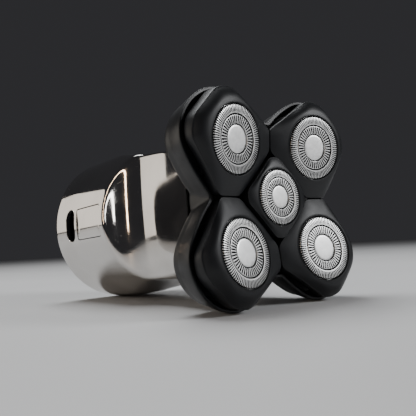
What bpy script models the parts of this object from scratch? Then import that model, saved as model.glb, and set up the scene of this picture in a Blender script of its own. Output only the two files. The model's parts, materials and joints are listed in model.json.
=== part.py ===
"""Five-head rotary head shaver, lying on its side, as an assembly of separate pieces.

The pieces are modelled in the shaver's own frame, in millimetres: x to the right, y up and
z out of the shaving face, with z = 0 at the four corner cutters. The assembly empty turns and
lifts that frame so that the shaver rests on its two lower lobes and the rear rim of its drum,
with the floor at world z = 0.
"""

from math import atan2, cos, hypot, pi, radians, sin, sqrt, tan

import bmesh
import bpy
from mathutils import Matrix, Vector

MM = 0.001

# Head layout
SPACING_X = 38.0  # between the corner cutters, left to right
SPACING_Y = 36.1  # between the corner cutters, bottom to top
TILT = radians(10.3)  # each corner cutter leans in towards the middle
CENTRE_DROP = 1.3  # the middle cutter sits this far behind the corner cutters
GUARD_R = 11.2
CENTRE_GUARD_R = 9.4
CORNERS = (  # name and the quarter of the face it stands in
    ("upper_left", -1, 1),
    ("upper_right", 1, 1),
    ("lower_left", -1, -1),
    ("lower_right", 1, -1),
)

# Floating pods
POD_ARC = 17.3  # round shoulders of a corner pod, from the cutter's axis
POD_TIP = 16.1  # its flattened outer end
POD_FLANK = 15.1  # its straight flanks
FLANK_ANGLE = radians(33.4)
POD_DEPTH = 6.2
GROOVE = 0.5  # between neighbouring pods
DIAMOND = 11.3  # middle of the centre pod to the middle of its side
CENTRE_POD_REACH = 13.9  # and to its rounded corners
POD_SLOPE = 0.15  # fall of a pod's face for each millimetre from its cutter
POD_ROUNDING = 40  # as ROUNDING, for the pods' crisper corners
POD_EDGE_DROP = 2.2  # a pod's inner edges lie this far behind its cutter
POD_LIP = 0.7  # ledge round the bore
POD_POINTS = 48
POD_SKIRT = -5.3  # a corner pod's outer skirt ends here, just in front of the head base
OUTER_ROLL = 2.7  # how far a corner pod's face rolls down at its outer rim
INNER_ROLL = 0.6  # and along the grooves
CENTRE_ROLL = 0.8
CORNER_FLANGE = 1.3  # the guard's flange stands out this far
CENTRE_FLANGE = 0.7
BLADE_FINS = 9

# Head base, the four-lobed housing behind the pods
BASE_ARC = 18.9
BASE_FLANK = 17.8
BASE_WAIST_X = 28.6
BASE_WAIST_Y = 27.8
BASE_FRONT = -5.7
BASE_REAR = -18.0
BASE_WALL = 0.9
BASE_POINTS = 48
SPIGOT_R = 12.2
SPIGOT_END = -23.8

# Gear train
CENTRE_TEETH = 28
CORNER_TEETH = 16
GEAR_SHIFT = 0.7  # each corner spindle stands this far outside its cutter's centre
GEAR_FRONT = -12.0
GEAR_REAR = -14.6
SPINDLE_R = 1.4
PRESSURE_ANGLE = radians(20)
COIL_R = 2.35
WIRE_R = 0.32
COIL_TURNS = 3
FRAME_SCREW_Y = 21.6
PLATE_FRONT = -10.5
PLATE_REAR = -11.7

# Body
DRUM_R = 32.2
BODY_FRONT = -18.4
BODY_REAR = -108.3
FACE_TOP = 1.9  # the foremost points of the face
LIP = -66.5  # where the finger scoops start on the drum
WAIST = -48.0  # the neck is narrowest here
WAIST_HALF = 20.3
NECK_TOP = 23.4
NECK_BOTTOM = 25.2
WALL = 1.8
BODY_POINTS = 44
OUTER_LEVELS = (-78, -72, -69.5, -67.5, -66, -64.5, -62.5, -60, -57, -53, -48, -42, -35, -27)
INNER_LEVELS = (-27, -37, -48, -55, -60, -64, -68, -74)
COLLAR_R = 13.3  # bore that takes the head's spigot
COLLAR_REAR = -24.8
SLOT_Z = -94.0
SLOT_LENGTH = 13.8
SLOT_WIDTH = 7.8
PANEL_FRONT = -68.8
PANEL_REAR = -88.4
PANEL_HALF = 6.6

# Inside the body
MOTOR_R = 12.0
SHAFT_R = 1.2
CELL_R = 9.1
CELL_HALF = 23.0
CELL_X = 4.0
CELL_REAR = -96.2
CELL_FRONT = -77.7
FRAME_R = 24.4
BOARD_X = -13.3
PIN_Y = 3.0
PIN_R = 0.95
CAP_SCREW_R = 24.0  # circle of the rear cap's screws

GAP = 0.3
ROUNDING = 24  # exponent that rounds the corner where two outlines meet

# Colour, roughness and metallic value of each finish
FINISHES = {
    "matte_black": ((0.012, 0.013, 0.016, 1.0), 0.42, 0.0),
    "chrome": ((0.72, 0.70, 0.68, 1.0), 0.08, 1.0),
    "steel": ((0.62, 0.62, 0.62, 1.0), 0.28, 1.0),
    "silver": ((0.83, 0.83, 0.82, 1.0), 0.35, 1.0),
    "black_plastic": ((0.02, 0.02, 0.022, 1.0), 0.5, 0.0),
    "white_plastic": ((0.75, 0.74, 0.70, 1.0), 0.4, 0.0),
    "brass": ((0.70, 0.52, 0.24, 1.0), 0.3, 1.0),
    "rubber": ((0.03, 0.03, 0.03, 1.0), 0.75, 0.0),
    "board": ((0.02, 0.16, 0.07, 1.0), 0.5, 0.0),
    "cell_wrap": ((0.05, 0.16, 0.34, 1.0), 0.35, 0.0),
}


# ---------------------------------------------------------------- scene and object helpers


def clear_scene():
    for obj in list(bpy.data.objects):
        bpy.data.objects.remove(obj)


def empty(name, parent=None, location=(0, 0, 0), rotation=None):
    """An empty at a place in millimetres, turned by a 3x3 matrix."""
    obj = bpy.data.objects.new(name, None)
    bpy.context.scene.collection.objects.link(obj)
    obj.parent = parent
    obj.location = Vector(location) * MM
    if rotation is not None:
        obj.rotation_euler = rotation.to_euler()
    return obj


def material(name, finish):
    colour, roughness, metallic = FINISHES[finish]
    made = bpy.data.materials.new(name)
    made.use_nodes = True
    shader = made.node_tree.nodes["Principled BSDF"]
    shader.inputs["Base Color"].default_value = colour
    shader.inputs["Roughness"].default_value = roughness
    shader.inputs["Metallic"].default_value = metallic
    made.diffuse_color = colour
    return made


def solid(name, bm, finish, parent, location=(0, 0, 0)):
    """Turns a mesh in millimetres into a smooth-shaded object under its parent."""
    bmesh.ops.recalc_face_normals(bm, faces=bm.faces)
    bmesh.ops.scale(bm, vec=(MM, MM, MM), verts=bm.verts)
    mesh = bpy.data.meshes.new(name)
    bm.to_mesh(mesh)
    bm.free()
    mesh.shade_smooth()
    mesh.set_sharp_from_angle(angle=radians(35))
    obj = bpy.data.objects.new(name, mesh)
    bpy.context.scene.collection.objects.link(obj)
    obj.parent = parent
    obj.location = Vector(location) * MM
    if finish:
        mesh.materials.append(material(name, finish))
    return obj


def boolean(target, tool_mesh, operation="DIFFERENCE"):
    """Cuts a mesh in millimetres out of the target, or joins it on. The tool shares the target's frame."""
    tool = solid(f"{target.name}_{operation.lower()}_{len(target.modifiers)}", tool_mesh, None, target.parent)
    tool.location = target.location
    tool.hide_render = True
    tool.display_type = "WIRE"
    modifier = target.modifiers.new(operation.title(), "BOOLEAN")
    modifier.operation = operation
    modifier.solver = "EXACT"
    modifier.object = tool


# ---------------------------------------------------------------- shapes


def loft(rings, closed=False, bm=None):
    """Bridges rings of equally many points. It caps both ends, or joins the last ring to the first."""
    bm = bm or bmesh.new()
    loops = [[bm.verts.new(point) for point in ring] for ring in rings]
    pairs = list(zip(loops, loops[1:]))
    if closed:
        pairs.append((loops[-1], loops[0]))
    for first, second in pairs:
        for i in range(len(first)):
            j = (i + 1) % len(first)
            bm.faces.new((first[i], first[j], second[j], second[i]))
    if not closed:
        bm.faces.new(loops[0])
        bm.faces.new(loops[-1])
    return bm


def circle(radius, z, count, centre=(0.0, 0.0)):
    angles = (2 * pi * i / count for i in range(count))
    return [(centre[0] + radius * cos(a), centre[1] + radius * sin(a), z) for a in angles]


def turned(profile, count=24, closed=False, centre=(0.0, 0.0), bm=None):
    """A round piece from (radius, z) points. A closed profile makes a ring, an open one is capped."""
    return loft([circle(r, z, count, centre) for r, z in profile], closed, bm)


def rod(radius, z0, z1, centre=(0.0, 0.0), count=16, bm=None):
    return turned([(radius, z0), (radius, z1)], count, centre=centre, bm=bm)


def box(low, high, bm=None):
    corners = [(low[0], low[1]), (high[0], low[1]), (high[0], high[1]), (low[0], high[1])]
    return loft([[(x, y, z) for x, y in corners] for z in (low[2], high[2])], bm=bm)


def stadium(length, width, steps=8):
    """A slot's outline, its long side along the first axis."""
    reach, end = (length - width) / 2, width / 2
    points = []
    for side, start in ((1, -pi / 2), (-1, pi / 2)):
        for i in range(steps + 1):
            a = start + pi * i / steps
            points.append((side * reach + end * cos(a), end * sin(a)))
    return points


def soft_min(values, exponent=ROUNDING):
    return sum(v**-exponent for v in values) ** (-1 / exponent)


def soft_max(values, exponent):
    return sum(v**exponent for v in values) ** (1 / exponent)


def polar(outline, z, count, scale=1.0):
    """Points of a ring whose radius is a function of the angle."""
    points = []
    for i in range(count):
        a = 2 * pi * i / count
        r = outline(a) * scale
        points.append((r * cos(a), r * sin(a), z))
    return points


def along_x(points, x0, x1, y=0.0, z=0.0, bm=None):
    """A prism along x from an outline of (y, z) points."""
    return loft([[(x, y + v, z + w) for v, w in points] for x in (x0, x1)], bm=bm)


def disc(radius, count):
    """A circle's outline as pairs."""
    return [(x, y) for x, y, _ in circle(radius, 0, count)]


def to_lines(a, lines):
    """Distances, along angle a, to straight lines given as (normal angle, distance)."""
    return [d / cos(a - n) for n, d in lines if cos(a - n) > 0.05]


# ---------------------------------------------------------------- head outlines

CORNER_X, CORNER_Y = SPACING_X / 2, SPACING_Y / 2
CORNER_ANGLE = atan2(CORNER_Y, CORNER_X)
CORNER_REACH = hypot(CORNER_X, CORNER_Y)


def pod_lines():
    """Straight sides of the upper right pod, seen from its cutter's axis."""
    lean = POD_EDGE_DROP * sin(TILT)
    beside_x = CORNER_X - GROOVE / 2 + 0.14 + lean * cos(CORNER_ANGLE)
    beside_y = CORNER_Y - GROOVE / 2 + 0.13 + lean * sin(CORNER_ANGLE)
    inner = (CORNER_REACH + lean - DIAMOND - GROOVE) / cos(TILT)
    return [
        (pi, beside_x),
        (-pi / 2, beside_y),
        (-3 * pi / 4, inner),
        (pi / 2 + FLANK_ANGLE, POD_FLANK),
        (-FLANK_ANGLE, POD_FLANK),
    ]


POD_LINES = pod_lines()


def off_outward(a):
    """Angle between a direction in the upper right pod and the way outward from the head's middle."""
    return abs((a - CORNER_ANGLE + pi) % (2 * pi) - pi)


def corner_pod_outline(a):
    # The round shoulders end where the straight flanks run on to the grooves.
    arc = POD_ARC / max(cos(max(off_outward(a) - radians(70), 0.0)), 0.05)
    lines = POD_LINES + [(CORNER_ANGLE, POD_TIP)]
    return soft_min([arc] + to_lines(a, lines), POD_ROUNDING)


def centre_pod_outline(a):
    """A square standing on its corner, with rounded corners."""
    sides = [(pi / 4 + k * pi / 2, DIAMOND) for k in range(4)]
    return soft_min([CENTRE_POD_REACH] + to_lines(a, sides), POD_ROUNDING)


def base_outline(inset=0.0, waist_inset=0.0):
    """The four-lobed outline, drawn in by an inset, as a function of the angle from the middle."""

    def radius(angle):
        x, y = abs(cos(angle)), abs(sin(angle))
        a = atan2(y, x)
        off_axis = CORNER_REACH * sin(a - CORNER_ANGLE)
        arc = BASE_ARC - inset
        to_arc = CORNER_REACH * cos(a - CORNER_ANGLE) + sqrt(max(arc**2 - off_axis**2, 0.01))
        flanks = []
        for normal in (pi / 2 + FLANK_ANGLE, -FLANK_ANGLE):
            distance = CORNER_X * cos(normal) + CORNER_Y * sin(normal) + BASE_FLANK - inset
            flanks.append((normal, distance))
        lobe = soft_min([to_arc] + to_lines(a, flanks), 18)
        waist = 1 / hypot(x / (BASE_WAIST_X - waist_inset), y / (BASE_WAIST_Y - waist_inset))
        return soft_max([lobe, waist * 0.97], 26)

    return radius


# ---------------------------------------------------------------- body


def scoop_half_width(z):
    """Half the width between the two finger scoops."""
    if z < WAIST:
        return WAIST_HALF + 12.0 * ((WAIST - z) / (WAIST - LIP)) ** 2.4
    return WAIST_HALF + 6.7 * ((z - WAIST) / (BODY_FRONT - WAIST)) ** 1.6


def neck_top(z):
    """Height of the neck's top, which swells to the drum's behind the waist and falls in front of it."""
    swell = 9.5 * max(0.0, (WAIST - z) / 42.0) ** 1.3
    fall = 5.0 * max(0.0, (z - WAIST) / (BODY_FRONT - WAIST)) ** 1.2
    return NECK_TOP + swell - fall


def neck_bottom(z):
    """Depth of the neck's underside, which swells to the drum's towards the rear."""
    return NECK_BOTTOM + 7.7 * max(0.0, (WAIST - 6.0 - z) / 36.0) ** 1.3


def body_outline(z, inset=0.0):
    """The body's section at z: a round drum cut by the scoops and flattened above and below."""
    step = 0.1
    slope = (scoop_half_width(z + step) - scoop_half_width(z - step)) / (2 * step)
    half_width = scoop_half_width(z) - inset * hypot(1, slope)
    sides = [(0, half_width), (pi, half_width)]
    sides += [(pi / 2, neck_top(z) - inset), (-pi / 2, neck_bottom(z) - inset)]

    def radius(a):
        return soft_min([DRUM_R - inset] + to_lines(a, sides))

    return radius


def make_body_shell(parent):
    rings = [polar(body_outline(BODY_REAR), BODY_REAR, BODY_POINTS, 0.975)]
    rings.append(polar(body_outline(BODY_REAR), BODY_REAR + 0.9, BODY_POINTS))
    rings += [polar(body_outline(z), z, BODY_POINTS) for z in OUTER_LEVELS]
    rings.append(polar(body_outline(BODY_FRONT), BODY_FRONT, BODY_POINTS))
    rings.append(polar(body_outline(BODY_FRONT, WALL), BODY_FRONT, BODY_POINTS))
    rings += [polar(body_outline(z, WALL), z, BODY_POINTS) for z in INNER_LEVELS]
    rings.append(polar(body_outline(BODY_REAR, WALL), BODY_REAR, BODY_POINTS))
    shell = solid("body_shell", loft(rings, closed=True), "chrome", parent)
    slot = stadium(SLOT_LENGTH, SLOT_WIDTH)
    boolean(shell, along_x(slot, -DRUM_R - 3, -DRUM_R + 5, z=SLOT_Z))
    panel_low = (-DRUM_R - 3, -PANEL_HALF, PANEL_REAR)
    panel_high = (-DRUM_R + 5, PANEL_HALF, PANEL_FRONT)
    boolean(shell, box(panel_low, panel_high))


def make_power_button(parent):
    """The flush rectangular panel beside the slot: a slice of the drum's wall with a short stem behind it."""
    half = PANEL_HALF - GAP
    outer = DRUM_R - 0.05
    inner = DRUM_R - WALL - 0.4
    steps = 6

    def arc(radius, start, end):
        turn = [start + (end - start) * i / steps for i in range(steps + 1)]
        return [(-sqrt(radius**2 - y**2), y) for y in turn]

    outline = arc(outer, half, -half) + arc(inner, -half, half)
    z_low, z_high = PANEL_REAR + GAP, PANEL_FRONT - GAP
    bm = loft([[(x + DRUM_R, y, z) for x, y in outline] for z in (z_low, z_high)])
    button = solid("power_button", bm, "chrome", parent, (-DRUM_R, 0, 0))
    middle = (z_low + z_high) / 2
    boolean(button, box((1.6, -1.5, middle - 1.5), (3.6, 1.5, middle + 1.5)), "UNION")


def make_front_collar(parent):
    """The plate and socket that close the body's front and take the head's spigot."""
    count = BODY_POINTS
    front, rear = -18.8, -20.6
    rings = [polar(body_outline(z, WALL + 2 * GAP), z, count) for z in (front, rear)]
    rings += [
        circle(COLLAR_R + 1.7, rear, count),
        circle(COLLAR_R + 1.7, COLLAR_REAR, count),
        circle(COLLAR_R, COLLAR_REAR, count),
        circle(COLLAR_R, front, count),
    ]
    solid("front_collar", loft(rings, closed=True), "black_plastic", parent)


def make_motor(parent):
    """A round can with a boss at its front, bored for its shaft, and the flanged cup that holds it."""
    bore = SHAFT_R + 0.4
    can = [(MOTOR_R, -52.0), (MOTOR_R, -25.3), (3.0, -25.3), (3.0, -24.2), (bore, -24.2), (bore, -49.0)]
    solid("motor", turned(can), "steel", parent)
    inner, outer, flange, vent = MOTOR_R + 0.4, MOTOR_R + 1.8, MOTOR_R + 5.0, 4.0
    cup = [
        (flange, -54.6),
        (flange, -53.2),
        (outer, -53.2),
        (outer, -31.0),
        (inner, -31.0),
        (inner, -52.6),
        (vent, -52.6),
        (vent, -54.6),
    ]
    solid("motor_cradle", turned(cup, closed=True), "black_plastic", parent)


def make_power_pack(parent):
    """The frame in the drum, its two cells, and the circuit board with the switch behind the button."""
    disc_low, disc_high, rail_end = -68.3, -67.0, -104.0
    plate = turned([(FRAME_R, disc_low), (FRAME_R, disc_high)], 32)
    frame = solid("inner_frame", plate, "black_plastic", parent)
    rails = bmesh.new()
    for side in (-1, 1):
        near, far = sorted((side * (CELL_HALF + 0.6), side * (CELL_HALF + 1.8)))
        box((CELL_X - 7, near, rail_end), (CELL_X + 7, far, disc_low + 0.7), rails)
    boolean(frame, rails, "UNION")
    boolean(frame, rod(5.0, -70.0, -65.0))
    for name, z in (("battery_rear", CELL_REAR), ("battery_front", CELL_FRONT)):
        outline = [(CELL_X + x, z + y) for x, y in disc(CELL_R, 20)]
        cell = loft([[(x, y, w) for x, w in outline] for y in (-CELL_HALF, CELL_HALF)])
        solid(name, cell, "cell_wrap", parent)
    board = box((BOARD_X - 1.5, -20.0, rail_end), (BOARD_X, 20.0, -69.6))
    solid("circuit_board", board, "board", parent)
    middle = (PANEL_REAR + PANEL_FRONT) / 2
    switch = box((-28.0, -3.0, middle - 3.0), (BOARD_X - 1.8, 3.0, middle + 3.0))
    solid("switch", switch, "black_plastic", parent)


def make_charging_socket(parent):
    """The dark block behind the slot, with a pocket for the plug and two contact pins."""
    front, back, pocket_end = -28.6, BOARD_X - 1.8, -23.6
    block = box((front, -8.6, SLOT_Z - 4.6), (back, 8.6, SLOT_Z + 4.6))
    socket = solid("charging_socket", block, "black_plastic", parent)
    pocket = stadium(SLOT_LENGTH - 0.8, SLOT_WIDTH - 0.8)
    boolean(socket, along_x(pocket, front - 2.4, pocket_end, z=SLOT_Z))
    bores = bmesh.new()
    for y in (-PIN_Y, PIN_Y):
        along_x(disc(PIN_R + GAP, 12), pocket_end - 0.9, back + 1.1, y, SLOT_Z, bores)
    boolean(socket, bores)
    for name, y in (("charging_pin_upper", PIN_Y), ("charging_pin_lower", -PIN_Y)):
        pin = along_x(disc(PIN_R, 12), front + 1.0, back - 0.2, y, SLOT_Z)
        solid(name, pin, "brass", parent)


def make_rear_cap(parent):
    """The disc that closes the drum, with three screws."""
    edge = DRUM_R - WALL - GAP
    profile = [(edge, -105.9), (edge, -107.2), (edge - 0.6, -107.8)]
    cap = solid("rear_cap", turned(profile, BODY_POINTS), "black_plastic", parent)
    holes = bmesh.new()
    for i in range(3):
        a = 2 * pi * i / 3
        place = (CAP_SCREW_R * cos(a), CAP_SCREW_R * sin(a))
        rod(2.5, -110, -104, place, bm=holes)
        screw = [(2.1, -107.5), (2.1, -106.3), (1.1, -106.3), (1.1, -104.5)]
        solid(f"cap_screw_{i + 1}", turned(screw, 12), "steel", parent, (*place, 0))
    boolean(cap, holes)


def hexagon(radius, z):
    """Twelve points on a hexagon, whose corners lie at the radius."""
    points = []
    for i in range(12):
        a = i * pi / 6
        r = radius if i % 2 == 0 else radius * cos(pi / 6)
        points.append((r * cos(a), r * sin(a), z))
    return points


def make_drive_shaft(parent):
    """The motor's shaft and the hexagonal dog on its end."""
    rings = [circle(SHAFT_R, z, 12) for z in (-48.0, -23.6)]
    rings += [hexagon(2.6, z) for z in (-23.6, -18.2)]
    solid("drive_shaft", loft(rings), "steel", parent)


# ---------------------------------------------------------------- head base and gears


def make_head_base(parent):
    count = BASE_POINTS
    front, rear = base_outline(), base_outline(1.9, 0.7)
    back = base_outline(3.8, 1.8)
    inner_front, inner_rear = base_outline(BASE_WALL, BASE_WALL), base_outline(3.9, 2.2)
    rings = [
        polar(base_outline(0.4, 0.4), BASE_FRONT, count),
        polar(front, BASE_FRONT - 0.4, count),
        polar(rear, -14.4, count),
        polar(back, BASE_REAR, count),
        circle(SPIGOT_R, BASE_REAR, count),
        circle(SPIGOT_R, SPIGOT_END, count),
        circle(SPIGOT_R - 1.4, SPIGOT_END, count),
        circle(SPIGOT_R - 1.4, BASE_REAR, count),
        circle(5.0, BASE_REAR, count),
        circle(5.0, -16.4, count),
        polar(inner_rear, -16.4, count),
        polar(inner_front, BASE_FRONT, count),
    ]
    solid("head_base", loft(rings, closed=True), "matte_black", parent)
    seal = [(SPIGOT_R + 0.6 + 0.25 * x, -20.6 + 0.4 * y) for x, y in disc(1.0, 4)]
    solid("seal_ring", turned(seal, 24, closed=True), "rubber", parent)


def spindle_places():
    """(name, x, y) of the five spindles, the middle one first."""
    reach = (CORNER_REACH + GEAR_SHIFT) / CORNER_REACH
    corners = [(name, sx * CORNER_X * reach, sy * CORNER_Y * reach) for name, sx, sy in CORNERS]
    return [("centre", 0.0, 0.0)] + corners


def make_plates(parent):
    """The gear plate behind the gears, and the pod frame in front of them, each bored for the spindles."""
    plate = loft([polar(base_outline(5.2, 3.4), z, 40) for z in (-15.95, -14.9)])
    plate = solid("gear_plate", plate, "steel", parent)
    frame = loft([polar(base_outline(3.3, 3.0), z, BASE_POINTS) for z in (PLATE_REAR, PLATE_FRONT)])
    frame = solid("pod_frame", frame, "black_plastic", parent)
    journals, passages, posts = bmesh.new(), bmesh.new(), bmesh.new()
    for name, x, y in spindle_places():
        rod(4.8 if name == "centre" else SPINDLE_R + 0.25, -17, -13, (x, y), 12, journals)
        rod(3.2, -13, -9, (x, y), 12, passages)
    for y in (-FRAME_SCREW_Y, FRAME_SCREW_Y):
        rod(1.25, -17, -9, (0, y), 10, journals)
        rod(1.25, -13, -9, (0, y), 10, passages)
        head = "upper" if y > 0 else "lower"
        screw = [(1.9, -9.4), (1.9, -10.2), (0.9, -10.2), (0.9, -15.6)]
        solid(f"frame_screw_{head}", turned(screw, 10), "steel", parent, (0, y, 0))
    for _, sx, sy in CORNERS:
        for side in (-1, 1):
            across = 13.7 * side
            x = sx * (CORNER_X - across * sin(CORNER_ANGLE))
            y = sy * (CORNER_Y + across * cos(CORNER_ANGLE))
            rod(0.8, -11.0, -6.7, (x, y), 6, posts)
    boolean(plate, journals)
    boolean(frame, posts, "UNION")
    boolean(frame, passages)


def gear_outline(teeth, module, phase):
    """A gear with straight-sided teeth, four points to a tooth."""
    pitch_r = module * teeth / 2
    tip, root = pitch_r + 0.9 * module, pitch_r - 1.2 * module
    half_pitch_tooth = pi / teeth / 2 * 0.88
    lean = tan(PRESSURE_ANGLE)
    half_tip = half_pitch_tooth - 0.9 * module * lean / pitch_r
    half_root = half_pitch_tooth + 1.2 * module * lean / pitch_r
    points = []
    for i in range(teeth):
        middle = phase + 2 * pi * i / teeth
        for r, turn in ((root, -half_root), (tip, -half_tip), (tip, half_tip), (root, half_root)):
            points.append((r * cos(middle + turn), r * sin(middle + turn)))
    return points


def make_gear(name, parent, teeth, module, phase):
    outline = gear_outline(teeth, module, phase)
    bm = loft([[(x, y, z) for x, y in outline] for z in (GEAR_FRONT, GEAR_REAR)])
    gear = solid(name, bm, "white_plastic", parent)
    boolean(gear, rod(SPINDLE_R + GAP, GEAR_REAR - 1, GEAR_FRONT + 1, count=12))


def make_spring(name, parent, z0, z1):
    """A coil spring round the spindle, as a tube along a helix with closed ends."""
    per_turn, sides = 8, 4
    steps = COIL_TURNS * per_turn
    rise = (z1 - z0 - 2 * WIRE_R) / steps
    rings = []
    for i in range(steps + 1):
        a = 2 * pi * i / per_turn
        out = Vector((cos(a), sin(a), 0))
        middle = out * COIL_R + Vector((0, 0, z0 + WIRE_R + rise * i))
        ring = []
        for x, z in disc(WIRE_R, sides):
            ring.append(middle + out * x + Vector((0, 0, z)))
        rings.append(ring)
    solid(name, loft(rings), "steel", parent)


def make_spindles(head):
    """The centre gear with its coupling cup, and the corner gears, each with spindle and spring."""
    module = 2 * (CORNER_REACH + GEAR_SHIFT) / (CENTRE_TEETH + CORNER_TEETH)
    for name, x, y in spindle_places():
        axis = empty(f"{name}_gear_axis", head, (x, y, 0))
        if name == "centre":
            make_gear("centre_gear", axis, CENTRE_TEETH, module, 0.0)
            rings = [circle(SPINDLE_R, z, 12) for z in (-4.6, -16.2)]
            rings += [circle(4.2, z, 12) for z in (-16.2, -22.8)]
            rings += [hexagon(3.2, z) for z in (-22.8, -17.6)]
            solid("centre_spindle", loft(rings), "steel", axis)
            make_spring("centre_spring", axis, PLATE_REAR, -7.9)
            continue
        toward = atan2(y, x)
        phase = toward + pi + (toward * CENTRE_TEETH - pi) / CORNER_TEETH
        make_gear(f"{name}_gear", axis, CORNER_TEETH, module, phase)
        solid(f"{name}_spindle", rod(SPINDLE_R, -15.9, -3.3, count=12), "steel", axis)
        make_spring(f"{name}_spring", axis, PLATE_REAR, -6.3)


# ---------------------------------------------------------------- floating pods and cutters


def mirrored(outline, sx, sy):
    """The same outline for a pod in another quarter of the face."""
    return lambda a: outline(atan2(sy * sin(a), sx * cos(a)))


def corner_edge_drop(a):
    """How far a corner pod's face rolls down at its rim: far on the outer sides, little at the grooves."""
    share = min(max((radians(125) - off_outward(a)) / radians(85), 0.0), 1.0)
    return INNER_ROLL + (OUTER_ROLL - INNER_ROLL) * share


def corner_underside(a):
    """Depth of a corner pod's side, which reaches lower outward, where the pod leans away from the base."""
    outward = corner_pod_outline(a) * cos(off_outward(a)) * sin(TILT)
    return min(-POD_DEPTH, (POD_SKIRT - outward) / cos(TILT))


def pod_rings(outline, edge_drop, underside, bore, flange, count):
    """Rings of a pod: its domed face, side, underside, and the stepped bore that holds the guard."""
    lip = bore + POD_LIP

    def face(share):
        points = []
        for i in range(count):
            a = 2 * pi * i / count
            rim, drop = outline(a), edge_drop(a)
            r = lip + (rim - lip) * share
            fall = drop * share**2.4
            points.append((r * cos(a), r * sin(a), -0.15 - POD_SLOPE * (r - lip) - fall))
        return points

    def side(inset, rise):
        points = polar(lambda a: outline(a) - inset, 0.0, count)
        return [(x, y, underside(2 * pi * i / count) + rise) for i, (x, y, _) in enumerate(points)]

    rings = [face(share) for share in (0.0, 0.5, 0.8, 1.0)]
    rings += [side(0.5, 0.7), side(1.2, 0.0)]
    rings += [circle(flange, z, count) for z in (-POD_DEPTH, -2.6)]
    rings += [circle(bore, z, count) for z in (-2.6, -0.4)]
    return rings


def make_cutter(name, pod_axis, guard_r, flange_r):
    """The slotted guard's ring, its centre cap, and the rotary blade that runs behind it."""
    inner = guard_r * 0.45
    guard = [
        (inner, -0.6),
        (inner, 0.1),
        (guard_r - 0.4, 0.2),
        (guard_r, -0.2),
        (guard_r, -2.9),
        (flange_r, -2.9),
        (flange_r, -3.5),
        (guard_r - 0.5, -3.5),
        (guard_r - 0.5, -0.6),
    ]
    solid(f"{name}_guard", turned(guard, 24, closed=True), "steel", pod_axis)
    cap_r = inner - 0.4
    cap = [(cap_r * 0.35, -0.12), (cap_r * 0.85, -0.16), (cap_r, -0.4), (cap_r, -0.75)]
    solid(f"{name}_cap", turned(cap, 20), "silver", pod_axis)
    blade_axis = empty(f"{name}_blade_axis", pod_axis)
    tip, valley = guard_r - 0.95, guard_r * 0.72
    star = []
    for i in range(BLADE_FINS):
        a = 2 * pi * i / BLADE_FINS
        for r, turn in ((valley, 0.0), (tip, 0.16), (tip, 0.38), (valley, 0.5)):
            star.append((r * cos(a + turn), r * sin(a + turn)))
    bm = loft([[(x, y, z) for x, y in star] for z in (-1.0, -2.2)])
    blade = solid(f"{name}_blade", bm, "steel", blade_axis)
    boolean(blade, turned([(3.5, -2.0), (3.5, -5.0), (2.45, -5.0), (2.45, -1.9)], 14), "UNION")


def make_pods(head):
    for name, sx, sy in CORNERS:
        outward = Vector((sx * CORNER_X, sy * CORNER_Y, 0)).normalized()
        across = Vector((-outward.y, outward.x, 0))
        # The pod's own z leans towards the middle of the face.
        turn = Matrix.Rotation(-TILT, 3, across)
        axis = empty(f"{name}_pod_axis", head, (sx * CORNER_X, sy * CORNER_Y, 0), turn)
        rules = (corner_pod_outline, corner_edge_drop, corner_underside)
        rules = (mirrored(rule, sx, sy) for rule in rules)
        flange = GUARD_R + CORNER_FLANGE
        rings = pod_rings(*rules, GUARD_R + GAP, flange + GAP, POD_POINTS)
        solid(f"{name}_pod", loft(rings, closed=True), "matte_black", axis)
        make_cutter(name, axis, GUARD_R, flange)
    axis = empty("centre_pod_axis", head, (0, 0, -CENTRE_DROP))
    flange = CENTRE_GUARD_R + CENTRE_FLANGE
    bore = CENTRE_GUARD_R + GAP
    rules = (centre_pod_outline, lambda a: CENTRE_ROLL, lambda a: -POD_DEPTH)
    rings = pod_rings(*rules, bore, flange + GAP, POD_POINTS)
    solid("centre_pod", loft(rings, closed=True), "matte_black", axis)
    make_cutter("centre", axis, CENTRE_GUARD_R, flange)


# ---------------------------------------------------------------- assembly


def main():
    clear_scene()
    # The shaver rests on its lower lobes, near the front, and on the drum's rear rim.
    lobe_z, rim_z = BASE_FRONT - 0.4, BODY_REAR + 0.9
    lobe_bottom = max(-y for _, y, _ in polar(base_outline(), lobe_z, BASE_POINTS))
    rim_bottom = max(-y for _, y, _ in polar(body_outline(rim_z), rim_z, BODY_POINTS))
    lean = atan2(lobe_bottom - rim_bottom, lobe_z - rim_z)
    lift = lobe_bottom * cos(lean) - lobe_z * sin(lean)
    turn = Matrix.Rotation(pi / 2 - lean, 3, "X")
    middle = turn @ Vector((0, 0, (BODY_REAR + FACE_TOP) / 2))
    assembly = empty("assembly", None, (0, -middle.y, lift), turn)
    make_body_shell(assembly)
    make_power_button(assembly)
    make_front_collar(assembly)
    make_motor(assembly)
    make_power_pack(assembly)
    make_charging_socket(assembly)
    make_rear_cap(assembly)
    make_drive_shaft(assembly)
    head = empty("head_axis", assembly)
    make_head_base(head)
    make_plates(head)
    make_spindles(head)
    make_pods(head)


main()
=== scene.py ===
"""Looks of the rotary head shaver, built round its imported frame."""

import json

from math import atan2, cos, hypot, pi, radians, sin, sqrt

import bmesh
import bpy
from mathutils import Matrix, Vector


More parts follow.
